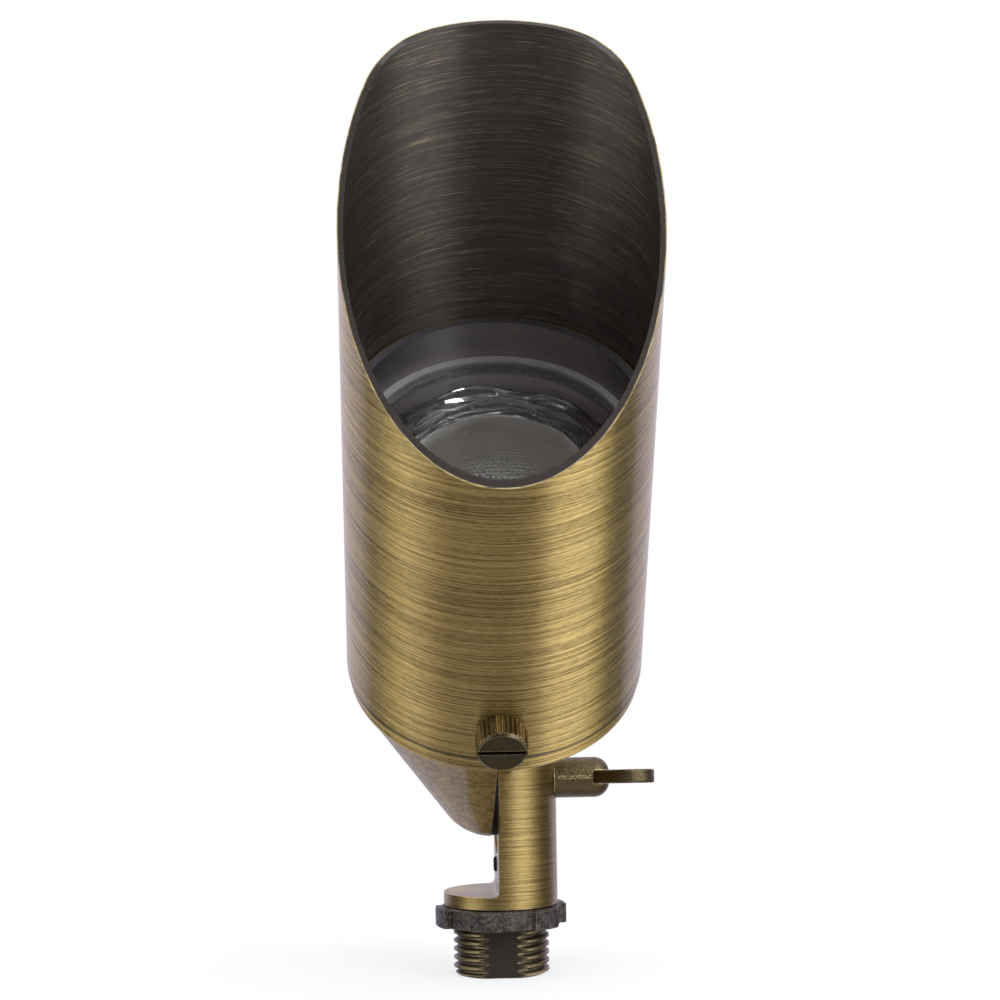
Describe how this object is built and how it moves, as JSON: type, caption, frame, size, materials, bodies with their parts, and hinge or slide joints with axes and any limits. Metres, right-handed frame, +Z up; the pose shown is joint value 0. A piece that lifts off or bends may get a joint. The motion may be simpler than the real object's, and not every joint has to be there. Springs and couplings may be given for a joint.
{
  "type": "landscape spotlight",
  "caption": "Antique-brass garden spotlight: tilting head with a slant-mouthed sliding shroud over a glass-covered lamp cup, on a knuckle post with pipe thread and lock nut.",
  "frame": {"origin": "on the axis of the mounting thread at the underside of the lock nut", "axes": "+Z up along the thread's axis, the head leans and aims towards -Y, the wing screw points to +X"},
  "size_m": [0.0663, 0.1076, 0.1958],
  "materials": {
    "cast_brass": "antique, satin",
    "brushed_brass": "antique, brushed round the tube",
    "screw_brass": "antique, as cast",
    "black_nut": "black, satin",
    "black_rubber": "matt",
    "clear_glass": "clear, polished",
    "lamp_glass": "clear, moulded",
    "lens_clear": "clear, with fine cells",
    "board_metal": "white lacquer",
    "emitter": "yellow phosphor",
    "driver_board": "circuit board",
    "lamp_plastic": "white",
    "pin_metal": "plated",
    "socket_ceramic": "cream ceramic",
    "plain_steel": "zinc plated",
    "lead_cover": "braided sleeve",
    "splice_cover": "crimp sleeve"
  },
  "bodies": {
    "stem": {"stem_base": "cast_brass", "wire_plug": "black_rubber", "knuckle_washer": "black_rubber"},
    "lock_nut": {"lock_nut": "black_nut"},
    "wing_screw": {"wing_screw": "screw_brass"},
    "head": {"rear_housing": "cast_brass", "cover_glass": "clear_glass", "lens_gasket": "black_rubber", "knuckle_nut": "screw_brass", "lead_seal": "black_rubber", "lamp_shell": "lamp_glass", "lamp_lens": "lens_clear", "led_board": "board_metal", "led_emitter": "emitter", "lamp_driver": "driver_board", "lamp_base": "lamp_plastic", "lamp_pins": "pin_metal", "lamp_socket": "socket_ceramic", "socket_contacts": "pin_metal", "socket_bracket": "plain_steel", "bracket_screws": "plain_steel", "socket_leads": "lead_cover", "crimp_splices": "splice_cover"},
    "shroud_ring": {"shroud_o_ring": "black_rubber"},
    "shroud": {"shroud": "brushed_brass"},
    "thumb_screw": {"thumb_screw": "screw_brass"}
  },
  "joints": [
    {"name": "head_tilt", "type": "hinge", "parent": "stem", "child": "head", "pos_m": [0, 0, 0.0319], "axis": [1, 0, 0], "range_deg": [-129.6, 50.4]},
    {"name": "wing_screw_turn", "type": "hinge", "parent": "stem", "child": "wing_screw", "pos_m": [0.02, 0, 0.0319], "axis": [1, 0, 0], "continuous": true},
    {"name": "lock_nut_turn", "type": "hinge", "parent": "stem", "child": "lock_nut", "pos_m": [0, 0, 0.0022], "axis": [0, 0, 1], "continuous": true},
    {"name": "shroud_turn", "type": "hinge", "parent": "head", "child": "shroud_ring", "pos_m": [-0.0015, -0.05354, 0.09662], "axis": [0, -0.6374, 0.7705], "continuous": true},
    {"name": "shroud_slide", "type": "slide", "parent": "shroud_ring", "child": "shroud", "axis": [0, -0.6374, 0.7705], "range_m": [0, 0.03]},
    {"name": "thumb_screw_turn", "type": "hinge", "parent": "shroud", "child": "thumb_screw", "pos_m": [-0.0015, -0.05244, 0.04634], "axis": [0, -0.7705, -0.6374], "continuous": true}
  ]
}
